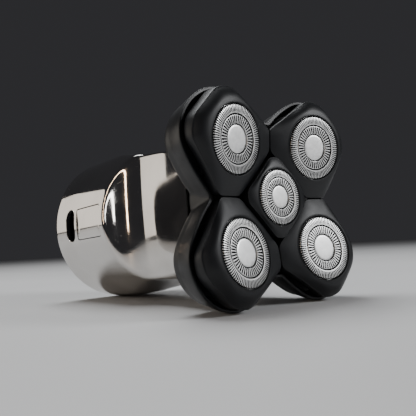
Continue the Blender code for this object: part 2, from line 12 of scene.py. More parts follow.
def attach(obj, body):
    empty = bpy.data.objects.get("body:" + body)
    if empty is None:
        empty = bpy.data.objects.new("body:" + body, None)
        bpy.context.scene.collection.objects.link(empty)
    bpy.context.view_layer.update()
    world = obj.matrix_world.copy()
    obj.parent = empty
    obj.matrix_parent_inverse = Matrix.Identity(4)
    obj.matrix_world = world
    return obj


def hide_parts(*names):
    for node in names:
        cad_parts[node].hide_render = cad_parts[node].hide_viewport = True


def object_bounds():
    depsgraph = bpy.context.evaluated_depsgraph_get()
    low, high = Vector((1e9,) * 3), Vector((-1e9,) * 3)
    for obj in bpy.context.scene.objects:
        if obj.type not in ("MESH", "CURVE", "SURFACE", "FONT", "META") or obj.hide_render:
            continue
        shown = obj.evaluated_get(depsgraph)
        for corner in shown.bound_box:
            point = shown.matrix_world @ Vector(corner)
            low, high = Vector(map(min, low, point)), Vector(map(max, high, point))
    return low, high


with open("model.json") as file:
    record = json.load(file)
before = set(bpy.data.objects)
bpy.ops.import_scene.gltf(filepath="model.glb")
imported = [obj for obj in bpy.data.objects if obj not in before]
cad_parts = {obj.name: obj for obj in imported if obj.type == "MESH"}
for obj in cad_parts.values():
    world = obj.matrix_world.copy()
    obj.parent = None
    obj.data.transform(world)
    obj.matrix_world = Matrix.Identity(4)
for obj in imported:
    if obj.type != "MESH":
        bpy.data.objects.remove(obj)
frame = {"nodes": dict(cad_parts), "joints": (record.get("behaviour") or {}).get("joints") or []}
cad_low, cad_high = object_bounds()

MM = 0.001

# Sizes in millimetres, in the shaver's own frame: x right, y up, z out of the face
SPACING_X = 38.0  # between the axes of the corner cutters
SPACING_Y = 36.1
GUARD_R = 11.2
CENTRE_GUARD_R = 9.4
BLADE_BEHIND = 3.0  # a corner blade's joint is this far behind the cutter's face
CENTRE_DROP = 1.3  # the middle cutter's face sits this far below the shaver's own z = 0
SHAFT_BEHIND = 40.0  # the drive shaft's joint is this far behind z = 0
CORNERS = (
    ("upper_left", -1, 1),
    ("upper_right", 1, 1),
    ("lower_left", -1, -1),
    ("lower_right", 1, -1),
)
CORNER_FLANGE = 1.3
CENTRE_FLANGE = 0.7
POD_ARC = 17.3  # round shoulders of a corner pod, from the cutter's axis
POD_TIP = 16.1  # its flattened outer end
POD_FLANK = 15.1  # its straight flanks
FLANK_ANGLE = radians(33.4)
TILT = radians(10.3)  # each corner cutter leans in towards the middle
POD_DEPTH = 6.2
POD_SLOPE = 0.15
POD_ROUNDING = 40
POD_EDGE_DROP = 2.2
POD_SKIRT = -5.3  # a corner pod's outer skirt ends here, just in front of the head base
OUTER_ROLL = 2.7  # how far a corner pod's face rolls down at its outer rim
INNER_ROLL = 0.6
CENTRE_ROLL = 0.8
GROOVE = 0.5  # between neighbouring pods
DIAMOND = 11.3  # half width of the middle pod across its flats
CENTRE_POD_REACH = 13.9
BASE_ARC = 18.9
BASE_FLANK = 17.8
BASE_WAIST_X = 28.6
BASE_WAIST_Y = 27.8
BASE_FRONT = -5.7
BASE_REAR = -18.0
BASE_WALL = 0.9
SPIGOT_R = 12.2
SPIGOT_END = -23.8
DRUM_R = 32.2
BODY_FRONT = -18.4
BODY_REAR = -108.3
LIP = -66.5  # where the scoops run out on the drum
WAIST = -48.0  # where the neck is narrowest
WAIST_HALF = 20.3
NECK_TOP = 23.4
NECK_BOTTOM = 25.2
WALL = 1.8
SLOT_Z = -94.0
SLOT_LENGTH = 13.8
SLOT_WIDTH = 7.8
PANEL_FRONT = -68.8
PANEL_REAR = -88.4
PANEL_HALF = 6.6
PANEL_CORNER = 1.0
PIN_Y = 3.0
PIN_R = 0.95
CAP_SCREW_R = 24.0
GAP = 0.3
ROUNDING = 24

PANEL_MIDDLE = (PANEL_REAR + PANEL_FRONT) / 2
PANEL_HALF_LENGTH = (PANEL_FRONT - PANEL_REAR) / 2
CORNER_X, CORNER_Y = SPACING_X / 2, SPACING_Y / 2
CORNER_ANGLE = atan2(CORNER_Y, CORNER_X)
CORNER_REACH = hypot(CORNER_X, CORNER_Y)

# ---------------------------------------------------------------- frames

JOINTS = {joint["name"]: joint for joint in frame["joints"]}


def axes_matrix(x, y, z, origin):
    """A frame from three unit axes and an origin in metres."""
    turn = Matrix((x, y, z)).transposed().to_4x4()
    turn.translation = origin
    return turn


def shaver_frame():
    """The shaver's own frame, with its origin in the middle of the face."""
    z = Vector(JOINTS["centre_blade_spin"]["axis"]).normalized()
    x = Vector((1, 0, 0))
    origin = Vector(JOINTS["drive_spin"]["pos_m"]) + z * SHAFT_BEHIND * MM
    return axes_matrix(x, z.cross(x), z, origin)


SHAVER = shaver_frame()


def pod_frame(name, sx, sy):
    """A pod's frame, with its z along the blade's axis and its origin on the cutter's face."""
    spin = JOINTS[f"{name}_blade_spin"]
    z = Vector(spin["axis"]).normalized()
    if name == "centre":
        origin = SHAVER @ Vector((0, 0, -CENTRE_DROP * MM))
        return axes_matrix(Vector((1, 0, 0)), z.cross(Vector((1, 0, 0))), z, origin)
    origin = Vector(spin["pos_m"]) + z * BLADE_BEHIND * MM
    across = Vector(JOINTS[f"{name}_pod_tilt"]["axis"]).normalized()
    out = across.cross(z)
    ox, oy = sx * CORNER_X / CORNER_REACH, sy * CORNER_Y / CORNER_REACH
    return axes_matrix(ox * out - oy * across, oy * out + ox * across, z, origin)


# ---------------------------------------------------------------- mesh helpers


def loft(rings, closed=False, bm=None, material=0):
    """Bridges rings of equally many points; caps both ends, or joins the last to the first."""
    bm = bm or bmesh.new()
    loops = [[bm.verts.new(point) for point in ring] for ring in rings]
    pairs = list(zip(loops, loops[1:]))
    if closed:
        pairs.append((loops[-1], loops[0]))
    made = []
    for first, second in pairs:
        for i in range(len(first)):
            j = (i + 1) % len(first)
            made.append(bm.faces.new((first[i], first[j], second[j], second[i])))
    if not closed:
        made.append(bm.faces.new(loops[0]))
        made.append(bm.faces.new(loops[-1]))
    for face in made:
        face.material_index = material
    return bm


def circle(radius, z, count, centre=(0.0, 0.0)):
    angles = (2 * pi * i / count for i in range(count))
    return [(centre[0] + radius * cos(a), centre[1] + radius * sin(a), z) for a in angles]


def turned(profile, count, closed=False, bm=None, material=0):
    """A solid turned about z from a profile of radius and height."""
    return loft([circle(r, z, count) for r, z in profile], closed, bm, material)


def polar(outline, z, count):
    """Points of a ring whose radius is a function of the angle."""
    points = []
    for i in range(count):
        a = 2 * pi * i / count
        r = outline(a)
        points.append((r * cos(a), r * sin(a), z))
    return points


def soft_min(values, exponent):
    """The smallest value, rounded off where two of them meet. A higher exponent rounds less."""
    return sum(v**-exponent for v in values) ** (-1 / exponent)


def soft_max(values, exponent):
    return sum(v**exponent for v in values) ** (1 / exponent)


def to_lines(a, lines):
    """Distances in direction a to the lines with these normals and distances, where a faces them."""
    return [d / cos(a - n) for n, d in lines if cos(a - n) > 0.05]


CREASE = radians(40)  # a sharper edge than this is drawn as an edge


def mesh_object(name, bm, materials, matrix):
    """An object from a mesh in millimetres, placed in its frame."""
    bmesh.ops.recalc_face_normals(bm, faces=bm.faces)
    bmesh.ops.scale(bm, vec=(MM, MM, MM), verts=bm.verts)
    mesh = bpy.data.meshes.new(name)
    bm.to_mesh(mesh)
    bm.free()
    mesh.shade_smooth()
    mesh.set_sharp_from_angle(angle=CREASE)
    obj = bpy.data.objects.new(name, mesh)
    bpy.context.scene.collection.objects.link(obj)
    obj.matrix_world = matrix
    for finish in materials:
        mesh.materials.append(finish)
    return obj


def cut(obj, bm):
    """Cuts a mesh in millimetres, in the object's own frame, out of the object."""
    tool = mesh_object(f"{obj.name}_cutter", bm, [], obj.matrix_world)
    modifier = obj.modifiers.new("Cut", "BOOLEAN")
    modifier.operation = "DIFFERENCE"
    modifier.solver = "EXACT"
    modifier.object = tool
    graph = bpy.context.evaluated_depsgraph_get()
    mesh = bpy.data.meshes.new_from_object(obj.evaluated_get(graph))
    obj.modifiers.clear()
    obj.data = mesh
    mesh.shade_smooth()
    mesh.set_sharp_from_angle(angle=CREASE)
    bpy.data.objects.remove(tool)


def place(obj, body, nodes=()):
    """Lets a piece ride on a body, in place of the CAD nodes that it draws."""
    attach(obj, body)
    if nodes:
        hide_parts(*nodes)


# ---------------------------------------------------------------- materials


class Finish:
    """A Principled material and the nodes that feed it."""

    def __init__(self, name, colour, roughness, metallic=0.0):
        self.material = bpy.data.materials.new(name)
        self.material.use_nodes = True
        self.tree = self.material.node_tree
        self.shader = self.tree.nodes["Principled BSDF"]
        self.shader.inputs["Base Color"].default_value = (*colour, 1)
        self.shader.inputs["Roughness"].default_value = roughness
        self.shader.inputs["Metallic"].default_value = metallic
        self.coords = self.node("ShaderNodeTexCoord").outputs["Object"]

    def node(self, kind, **settings):
        made = self.tree.nodes.new(kind)
        for key, value in settings.items():
            setattr(made, key, value)
        return made

    def link(self, out, into):
        self.tree.links.new(out, into)

    def noise(self, scale, detail, stretch=(1, 1, 1), source=None):
        mapping = self.node("ShaderNodeMapping")
        mapping.inputs["Scale"].default_value = stretch
        self.link(source or self.coords, mapping.inputs["Vector"])
        noise = self.node("ShaderNodeTexNoise")
        noise.inputs["Scale"].default_value = scale
        noise.inputs["Detail"].default_value = detail
        self.link(mapping.outputs["Vector"], noise.inputs["Vector"])
        return noise.outputs["Fac"]

    def ranged(self, value, low, high, from_low=0.0, from_high=1.0):
        ranged = self.node("ShaderNodeMapRange")
        ranged.inputs["From Min"].default_value = from_low
        ranged.inputs["From Max"].default_value = from_high
        ranged.inputs["To Min"].default_value = low
        ranged.inputs["To Max"].default_value = high
        self.link(value, ranged.inputs["Value"])
        return ranged.outputs["Result"]

    def math(self, operation, first, second=None):
        made = self.node("ShaderNodeMath", operation=operation)
        for i, value in enumerate((first, second)):
            if value is None:
                continue
            if isinstance(value, (int, float)):
                made.inputs[i].default_value = value
            else:
                self.link(value, made.inputs[i])
        return made.outputs["Value"]

    def tones(self, value, dark, light, low=0.35, high=0.65):
        """Base colour between two tones, by a value between low and high."""
        ramp = self.node("ShaderNodeValToRGB")
        ramp.color_ramp.elements[0].position = low
        ramp.color_ramp.elements[0].color = (*dark, 1)
        ramp.color_ramp.elements[1].position = high
        ramp.color_ramp.elements[1].color = (*light, 1)
        self.link(value, ramp.inputs["Fac"])
        self.link(ramp.outputs["Color"], self.shader.inputs["Base Color"])

    def shades(self, value, colour, darker, lighter):
        """Base colour between a darker and a lighter shade of one colour."""
        dark = tuple(c * darker for c in colour)
        self.tones(value, dark, tuple(min(1, c * lighter) for c in colour))

    def rough(self, value):
        self.link(value, self.shader.inputs["Roughness"])

    def bump(self, height, distance, strength=1.0):
        bump = self.node("ShaderNodeBump")
        bump.inputs["Distance"].default_value = distance
        bump.inputs["Strength"].default_value = strength
        self.link(height, bump.inputs["Height"])
        self.link(bump.outputs["Normal"], self.shader.inputs["Normal"])

    def ring_distance(self):
        """Distance from the object's z axis, as a vector whose x is that distance."""
        split = self.node("ShaderNodeSeparateXYZ")
        self.link(self.coords, split.inputs["Vector"])
        x, y = split.outputs["X"], split.outputs["Y"]
        squares = self.math("ADD", self.math("MULTIPLY", x, x), self.math("MULTIPLY", y, y))
        join = self.node("ShaderNodeCombineXYZ")
        self.link(self.math("SQRT", squares), join.inputs["X"])
        self.link(split.outputs["Z"], join.inputs["Z"])
        return join.outputs["Vector"]


def chrome_finish():
    """Mirror plating with a slight warm cast, faint lengthwise polishing marks and dust."""
    f = Finish("chrome_plating", (0.66, 0.64, 0.61), 0.06, 1.0)
    cloud = f.noise(45, 3)
    f.tones(cloud, (0.60, 0.575, 0.545), (0.70, 0.68, 0.655))
    smudge = f.noise(120, 5)
    dust = f.ranged(f.noise(2600, 1), 0.0, 0.22, 0.72, 0.80)
    f.rough(f.math("ADD", f.ranged(smudge, 0.035, 0.10, 0.35, 0.7), dust))
    marks = f.noise(900, 2, (1, 1, 0.06))
    f.bump(marks, 0.00001, 0.35)
    return f.material


def black_finish(name="satin_black", colour=(0.0050, 0.0056, 0.0070), roughness=0.42):
    """Soft-touch satin black with a fine grain, handling marks and a few specks of dust."""
    f = Finish(name, colour, roughness)
    cloud = f.noise(160, 4)
    f.shades(cloud, colour, 0.8, 1.3)
    f.rough(f.ranged(f.noise(90, 5), roughness - 0.05, roughness + 0.08, 0.3, 0.7))
    f.bump(f.noise(5200, 2), 0.00002, 0.5)
    f.shader.inputs["Specular IOR Level"].default_value = 0.35
    return f.material


def brushed_steel():
    """The guards' steel, brushed round the object's z axis."""
    colour, roughness = (0.80, 0.80, 0.79), 0.37
    f = Finish("guard_steel", colour, roughness, 1.0)
    rings = f.ring_distance()
    grooves = f.noise(9000, 2, (1, 1, 0.4), rings)
    f.shades(grooves, colour, 0.93, 1.05)
    wear = f.noise(500, 4)
    f.rough(f.ranged(wear, roughness - 0.03, roughness + 0.05, 0.3, 0.7))
    f.bump(grooves, 0.000001, 0.2)
    f.shader.inputs["Anisotropic"].default_value = 0.1
    tangent = f.node("ShaderNodeTangent", direction_type="RADIAL", axis="Z")
    f.link(tangent.outputs["Tangent"], f.shader.inputs["Tangent"])
    return f.material


def satin_silver():
    """The caps' pale satin metal, faintly mottled."""
    f = Finish("satin_silver", (0.86, 0.86, 0.85), 0.42, 1.0)
    cloud = f.noise(420, 5)
    f.tones(cloud, (0.78, 0.78, 0.77), (0.90, 0.90, 0.89), 0.3, 0.7)
    f.rough(f.ranged(f.noise(1500, 3), 0.36, 0.52, 0.3, 0.7))
    f.bump(f.noise(7000, 2), 0.00001, 0.35)
    return f.material


def plain_plastic(name, colour, roughness, grain=3500):
    """Moulded plastic or rubber with a fine grain."""
    f = Finish(name, colour, roughness)
    f.shades(f.noise(220, 4), colour, 0.86, 1.12)
    f.rough(f.ranged(f.noise(700, 3), roughness - 0.06, roughness + 0.08, 0.3, 0.7))
    f.bump(f.noise(grain, 2), 0.00002, 0.5)
    return f.material


def plain_metal(name, colour, roughness):
    """Machined metal with small, even marks."""
    f = Finish(name, colour, roughness, 1.0)
    marks = f.noise(1500, 3)
    f.shades(marks, colour, 0.8, 1.1)
    f.rough(f.ranged(marks, roughness - 0.08, roughness + 0.12, 0.3, 0.7))
    f.bump(marks, 0.00001, 0.4)
    return f.material


def circuit_finish():
    """Green lacquer over faint copper tracks."""
    f = Finish("circuit_green", (0.02, 0.14, 0.06), 0.35)
    voronoi = f.node("ShaderNodeTexVoronoi", feature="DISTANCE_TO_EDGE", distance="MANHATTAN")
    voronoi.inputs["Scale"].default_value = 330
    f.link(f.coords, voronoi.inputs["Vector"])
    f.tones(voronoi.outputs["Distance"], (0.10, 0.22, 0.08), (0.015, 0.11, 0.045), 0.02, 0.06)
    f.bump(voronoi.outputs["Distance"], 0.00003, 0.4)
    return f.material


CHROME = chrome_finish()
SATIN_BLACK = black_finish()
BASE_BLACK = black_finish("base_black", (0.0045, 0.0050, 0.0062), 0.38)
GUARD_STEEL = brushed_steel()
# Near-black finish for the guards' slots and groove and for the skirts under the caps: painted shade
SLOT_PAINTED_SHADE = plain_metal("slot_shadow", (0.006, 0.006, 0.007), 0.6)
CAP_SILVER = satin_silver()
BLACK_PLASTIC = plain_plastic("black_plastic", (0.018, 0.018, 0.020), 0.5)
WHITE_PLASTIC = plain_plastic("gear_plastic", (0.74, 0.73, 0.69), 0.42)
PLAIN_STEEL = plain_metal("plain_steel", (0.60, 0.60, 0.60), 0.3)
BRASS = plain_metal("contact_brass", (0.78, 0.62, 0.34), 0.25)
RUBBER = plain_plastic("seal_rubber", (0.02, 0.02, 0.02), 0.75, 5000)
CELL_WRAP = plain_plastic("cell_wrap", (0.04, 0.13, 0.32), 0.3)
CIRCUIT = circuit_finish()

NODE_FINISH = {
    "body_shell": CHROME,
    "power_button": CHROME,
    "head_base": BASE_BLACK,
    "front_collar": BLACK_PLASTIC,
    "motor": PLAIN_STEEL,
    "motor_cradle": BLACK_PLASTIC,
    "inner_frame": BLACK_PLASTIC,
    "battery_rear": CELL_WRAP,
    "battery_front": CELL_WRAP,
    "circuit_board": CIRCUIT,
    "switch": BLACK_PLASTIC,
    "charging_socket": BLACK_PLASTIC,
    "charging_pin_upper": BRASS,
    "charging_pin_lower": BRASS,
    "rear_cap": BLACK_PLASTIC,
    "drive_shaft": PLAIN_STEEL,
    "seal_ring": RUBBER,
    "gear_plate": PLAIN_STEEL,
    "pod_frame": BLACK_PLASTIC,
}
KIND_FINISH = {
    "pod": SATIN_BLACK,
    "guard": GUARD_STEEL,
    "cap": CAP_SILVER,
    "gear": WHITE_PLASTIC,
}


def finish_nodes():
    """Gives every CAD node a finish by its name, or by the last word of its name."""
    for name, obj in frame["nodes"].items():
        finish = NODE_FINISH.get(name) or KIND_FINISH.get(name.split("_")[-1], PLAIN_STEEL)
        obj.data.materials.clear()
        obj.data.materials.append(finish)


# ---------------------------------------------------------------- body

BODY_POINTS = 540
SHELL_ROUNDING = 58  # the skin's edges are crisper than the CAD's
SIDE_CROWN = 0.0016  # slight outward bow of the scooped faces, for each square millimetre


def scoop_half_width(z):
    """Half the neck's width between the scoops, which widens both ways from the waist."""
    if z < WAIST:
        return WAIST_HALF + 12.0 * ((WAIST - z) / (WAIST - LIP)) ** 2.4
    return WAIST_HALF + 6.7 * ((z - WAIST) / (BODY_FRONT - WAIST)) ** 1.6


def neck_top(z):
    """Height of the neck's flat top, above the shaver's axis."""
    swell = 9.5 * max(0.0, (WAIST - z) / 42.0) ** 1.3
    fall = 5.0 * max(0.0, (z - WAIST) / (BODY_FRONT - WAIST)) ** 1.2
    return NECK_TOP + swell - fall


def neck_bottom(z):
    """Depth of the neck's flat underside, below the shaver's axis."""
    return NECK_BOTTOM + 7.7 * max(0.0, (WAIST - 6.0 - z) / 36.0) ** 1.3


def body_outline(z, inset=0.0, rounding=ROUNDING):
    """The body's section at a depth, drawn in by an inset, as a function of the angle."""
    step = 0.1
    slope = (scoop_half_width(z + step) - scoop_half_width(z - step)) / (2 * step)
    half_width = scoop_half_width(z) - inset * hypot(1, slope)
    flats = [(pi / 2, neck_top(z) - inset), (-pi / 2, neck_bottom(z) - inset)]

    def radius(a):
        across = abs(cos(a))
        lengths = [DRUM_R - inset] + to_lines(a, flats)
        if across > 0.05:
            y = half_width * abs(sin(a)) / across
            bowed = half_width - SIDE_CROWN * min(y, 30.0) ** 2
            lengths.append(bowed / across)
        return soft_min(lengths, rounding)

    return radius


def rounded_rectangle(half_y, half_z, corner, steps=6):
    """Outline points, with quarter circles at the corners."""
    points = []
    for quarter, (sy, sz) in enumerate(((1, 1), (-1, 1), (-1, -1), (1, -1))):
        for i in range(steps + 1):
            a = quarter * pi / 2 + i / steps * pi / 2
            y = sy * (half_y - corner) + corner * cos(a)
            points.append((y, sz * (half_z - corner) + corner * sin(a)))
    return points


def stadium(length, width, steps=24):
    """Outline points of a slot with round ends."""
    reach, end = (length - width) / 2, width / 2
    points = []
    for side, start in ((1, -pi / 2), (-1, pi / 2)):
        for i in range(steps + 1):
            a = start + pi * i / steps
            points.append((side * reach + end * cos(a), end * sin(a)))
    return points


SKIN = 0.12  # points no deeper than this below the drum's radius are on its outer skin


def round_normals(obj):
    """Gives the drum's outer skin exact normals, so that its cut edges don't dent reflections."""
    mesh = obj.data
    normals = []
    for face in mesh.polygons:
        for index in face.vertices:
            x, y, z = mesh.vertices[index].co / MM
            radial = Vector((x, y, 0)).normalized()
            on_skin = hypot(x, y) > DRUM_R - SKIN and BODY_REAR + 1 < z < PANEL_FRONT + 0.5
            plain = on_skin and face.normal.dot(radial) > 0.98
            normals.append(radial if plain else (0, 0, 0))
    mesh.normals_split_custom_set(normals)


def paint_slot_shade(shell):
    """Paints the charging slot's walls with the black plastic, as painted shade inside the slot."""
    shell.data.materials.append(BLACK_PLASTIC)
    for face in shell.data.polygons:
        x, y, z = face.center / MM
        radial = Vector((x, y, 0)).normalized()
        beside = abs(y) < SLOT_LENGTH / 2 + 0.1 and abs(z - SLOT_Z) < SLOT_WIDTH / 2 + 0.1
        is_wall = hypot(x, y) < DRUM_R - 0.05 and abs(face.normal.dot(radial)) < 0.5
        # Walls inside the slot get the black plastic: painted shade
        if x < 0 and beside and is_wall:
            face.material_index = 1


def body_rings():
    """Rings of the shell's skin from front to rear, round the rear edge, and back along its inside."""
    fine_end, steps = -78.0, 150
    fine = [BODY_FRONT + (fine_end - BODY_FRONT) * i / steps for i in range(steps + 1)]
    rear = [-84.0, -92.0, -100.0, -105.0, -106.6]
    rings = [polar(body_outline(z, 0, SHELL_ROUNDING), z, BODY_POINTS) for z in fine + rear]
    drum = body_outline(BODY_REAR)
    for share in (0.15, 0.4, 0.7, 1.0):
        turn = share * pi / 2
        inset = 0.8 * (1 - cos(turn))
        z = BODY_REAR + 0.9 - 0.9 * sin(turn)
        rings.append(polar(lambda a: drum(a) - inset, z, BODY_POINTS))
    rings.append(polar(body_outline(BODY_REAR, WALL), BODY_REAR, BODY_POINTS))
    for z in (-100, -90, -80, -74, -70, -66, -62, -58, -54, -48, -42, -36, -30, -24, BODY_FRONT):
        rings.append(polar(body_outline(z, WALL), z, BODY_POINTS))
    return rings


def through_wall(outline, middle):
    """A cutter through the drum's left wall, from outline points across and along the drum."""
    return loft([[(x, y, middle + z) for y, z in outline] for x in (-DRUM_R - 3, -DRUM_R + 5)])


def make_shell():
    shell = mesh_object("visual_body_shell", loft(body_rings(), closed=True), [CHROME], SHAVER)
    cut(shell, through_wall(stadium(SLOT_LENGTH, SLOT_WIDTH), SLOT_Z))
    window = rounded_rectangle(PANEL_HALF, PANEL_HALF_LENGTH, PANEL_CORNER)
    cut(shell, through_wall(window, PANEL_MIDDLE))
    paint_slot_shade(shell)
    round_normals(shell)
    place(shell, "body", ["body_shell"])


def make_button():
    """The flush panel, curved like the drum, with a fine rounded edge."""
    gap = 0.3
    rings = []
    edge_steps = ((0, 2.1), (0, 0.2), (0.05, 0.1), (0.16, 0.05))
    for inset, depth in edge_steps + tuple((inset, 0.05) for inset in (1.0, 2.2, 3.6, 5.0, 6.0)):
        r = DRUM_R - depth
        edge = gap + inset
        corner = max(PANEL_CORNER - edge, 0.1)
        outline = rounded_rectangle(PANEL_HALF - edge, PANEL_HALF_LENGTH - edge, corner)
        rings.append([(-sqrt(r * r - y * y), y, PANEL_MIDDLE + z) for y, z in outline])
    panel = mesh_object("visual_power_button", loft(rings), [CHROME], SHAVER)
    round_normals(panel)
    place(panel, "button", ["power_button"])


def make_slot_rim():
    """A thin bead that rounds the slot's edge."""
    tube, steps = 0.13, 8
    rings = []
    for k in range(steps):
        b = 2 * pi * k / steps
        grow = 0.1 + 2 * tube * cos(b)
        r = DRUM_R - 0.06 + tube * sin(b)
        outline = stadium(SLOT_LENGTH + grow, SLOT_WIDTH + grow)
        rings.append([(-sqrt(r * r - y * y), y, SLOT_Z + z) for y, z in outline])
    rim = mesh_object("slot_rim", loft(rings, closed=True), [CHROME], SHAVER)
    place(rim, "body")


def make_pins():
    """The two contact pins in the slot, each with a domed tip."""
    tip = -27.6
    profile = [(PIN_R * 0.35, 0.0), (PIN_R * 0.75, 0.12), (PIN_R * 0.95, 0.35)]
    profile += [(PIN_R, 0.7), (PIN_R, 12.0)]
    for name, y in (("charging_pin_upper", PIN_Y), ("charging_pin_lower", -PIN_Y)):
        rings = [[(tip + d, y + u, SLOT_Z + v) for u, v, _ in circle(r, 0, 48)] for r, d in profile]
        pin = mesh_object(f"visual_{name}", loft(rings), [BRASS], SHAVER)
        place(pin, "body", [name])


def hexagon(radius, z, count):
    """A hexagon of as many points as the circles it joins."""
    points = []
    for i in range(count):
        a = 2 * pi * i / count
        nearest = (a % (pi / 3)) - pi / 6
        r = radius * cos(pi / 6) / cos(nearest)
        points.append((r * cos(a), r * sin(a), z))
    return points


def cap_screw():
    """A domed screw head with a hexagonal socket, facing the rear, on a plain shank."""
    head_r, top, shoulder, shank_r, tip = 2.1, -107.5, -106.3, 1.1, -104.5
    count = 48
    rings = [hexagon(head_r * 0.5, top + 0.7, count), hexagon(head_r * 0.5, top, count)]
    rings += [circle(head_r * 0.8, top, count), circle(head_r * 0.94, top + 0.12, count)]
    rings += [circle(head_r, top + 0.35, count), circle(head_r, shoulder, count)]
    rings += [circle(shank_r, shoulder, count), circle(shank_r, tip, count)]
    return loft(rings)


CAP_REAR = -107.8
CAP_SCREWS = [2 * pi * i / 3 for i in range(3)]


def make_rear_cap():
    """The rear cap, with a rounded edge, a groove round it and a groove round its middle."""
    edge, sunk = DRUM_R - WALL - GAP, CAP_REAR + 0.15
    profile = [(edge, -105.9), (edge, -107.2), (edge - 0.25, -107.6), (edge - 0.6, CAP_REAR)]
    for outer, inner in ((28.2, 27.4), (14.4, 13.6)):
        profile += [(outer, CAP_REAR), (outer - 0.2, sunk), (inner + 0.2, sunk), (inner, CAP_REAR)]
    profile += [(6.0, CAP_REAR), (2.0, CAP_REAR)]
    cap = mesh_object("visual_rear_cap", turned(profile, 180), [BLACK_PLASTIC], SHAVER)
    holes = bmesh.new()
    for a in CAP_SCREWS:
        centre = (CAP_SCREW_R * cos(a), CAP_SCREW_R * sin(a))
        loft([circle(2.5, z, 48, centre) for z in (-110, -104)], bm=holes)
    cut(cap, holes)
    place(cap, "body", ["rear_cap"])
    for i, a in enumerate(CAP_SCREWS):
        turn = Matrix.Translation((CAP_SCREW_R * cos(a) * MM, CAP_SCREW_R * sin(a) * MM, 0))
        obj = mesh_object(f"visual_cap_screw_{i + 1}", cap_screw(), [PLAIN_STEEL], SHAVER @ turn)
        place(obj, "body", [f"cap_screw_{i + 1}"])


# ---------------------------------------------------------------- head


def pod_lines():
    """Straight sides of the upper right pod: its two grooves, the middle pod's groove, two flanks."""
    lean = POD_EDGE_DROP * sin(TILT)
    beside_x = CORNER_X - GROOVE / 2 + 0.14 + lean * cos(CORNER_ANGLE)
    beside_y = CORNER_Y - GROOVE / 2 + 0.13 + lean * sin(CORNER_ANGLE)
    inner = (CORNER_REACH + lean - DIAMOND - GROOVE) / cos(TILT)
    return [
        (pi, beside_x),
        (-pi / 2, beside_y),
        (-3 * pi / 4, inner),
        (pi / 2 + FLANK_ANGLE, POD_FLANK),
        (-FLANK_ANGLE, POD_FLANK),
    ]


POD_LINES = pod_lines()


def off_outward(a):
    """Angle between a direction in the upper right pod and the way outward from the head's middle."""
    return abs((a - CORNER_ANGLE + pi) % (2 * pi) - pi)


def corner_pod_outline(a):
    # The round shoulders end where the straight flanks run on to the grooves.
    arc = POD_ARC / max(cos(max(off_outward(a) - radians(70), 0.0)), 0.05)
    lines = POD_LINES + [(CORNER_ANGLE, POD_TIP)]
    return soft_min([arc] + to_lines(a, lines), POD_ROUNDING)


def centre_pod_outline(a):
    """A square standing on its corner, with rounded corners."""
    sides = [(pi / 4 + k * pi / 2, DIAMOND) for k in range(4)]
    return soft_min([CENTRE_POD_REACH] + to_lines(a, sides), POD_ROUNDING)


def mirrored(rule, sx, sy):
    """A rule made for the upper right pod, for the pod on these sides."""
    return lambda a: rule(atan2(sy * sin(a), sx * cos(a)))


def corner_edge_drop(a):
    """How far the face rolls down at the rim: least beside the grooves, most on the outer side."""
    share = min(max((radians(125) - off_outward(a)) / radians(85), 0.0), 1.0)
    return INNER_ROLL + (OUTER_ROLL - INNER_ROLL) * share


def corner_underside(a):
    """Depth of a corner pod's side, which reaches lower outward, where the pod leans away from the base."""
    outward = corner_pod_outline(a) * cos(off_outward(a)) * sin(TILT)
    return min(-POD_DEPTH, (POD_SKIRT - outward) / cos(TILT))


POD_POINTS = 288
EDGE = 0.22  # rounding of a pod's rim
BORE_STEP = -2.6  # the pod's bore widens here, behind the guard's wall


def pod_mesh(outline, edge_drop, underside, bore, flange):
    """A pod: its domed face, rounded rim, side, underside, and the stepped bore for the guard."""
    lip = bore + 0.7
    bead = ((0.06, -0.25), (0.2, -0.06), (0.36, 0.02), (0.52, -0.04))

    def side(inset, rise):
        points = polar(lambda a: outline(a) - inset, 0.0, POD_POINTS)
        heights = [underside(2 * pi * i / POD_POINTS) + rise for i in range(POD_POINTS)]
        return [(x, y, z) for (x, y, _), z in zip(points, heights)]

    def face(share, turn):
        """A ring at a share of the way to the rim, then turned down round the rim."""
        points = []
        for i in range(POD_POINTS):
            a = 2 * pi * i / POD_POINTS
            rim, drop = outline(a), edge_drop(a)
            edge = min(EDGE, drop * 0.8)
            width = rim - lip - EDGE
            r = lip + width * share
            fall = (drop - edge) * share**2.4
            if turn > 0:
                r += EDGE * sin(turn)
                fall += edge * (1 - cos(turn))
            points.append((r * cos(a), r * sin(a), -0.12 - POD_SLOPE * (r - lip) - fall))
        return points

    rings = [circle(flange, z, POD_POINTS) for z in (-POD_DEPTH, BORE_STEP)]
    rings += [circle(bore, z, POD_POINTS) for z in (BORE_STEP, -0.5)]
    rings += [circle(bore + out, z, POD_POINTS) for out, z in bead]
    rings += [face(i / 18, 0) for i in range(19)]
    rings += [face(1.0, k / 6 * pi / 2) for k in range(1, 7)]
    rings += [side(0.5, 0.7), side(0.7, 0.3), side(1.2, 0.0)]
    return loft(rings, closed=True)


WALL_SHARE = 0.04  # of the pitch between slots, for each sloping wall of a slot


def slotted_loft(profile, slots, rib_share, per_part=2):
    """Rings of a slotted ring whose profile points are (rib radius, rib z, slot radius, slot z)."""
    pattern = []
    for i in range(slots):
        start = 2 * pi * i / slots
        pitch = 2 * pi / slots
        rib = pitch * rib_share
        wall = pitch * WALL_SHARE
        for k in range(per_part + 1):
            pattern.append((start + rib * k / per_part, False))
        for k in range(per_part + 1):
            pattern.append((start + rib + wall + (pitch - rib - 2 * wall) * k / per_part, True))
    rings = []
    for rib_r, rib_z, slot_r, slot_z in profile:
        ring = []
        for a, in_slot in pattern:
            r, z = (slot_r, slot_z) if in_slot else (rib_r, rib_z)
            ring.append((r * cos(a), r * sin(a), z))
        rings.append(ring)
    return rings


def same(r, z):
    """A profile point that ribs and slots share."""
    return (r, z, r, z)


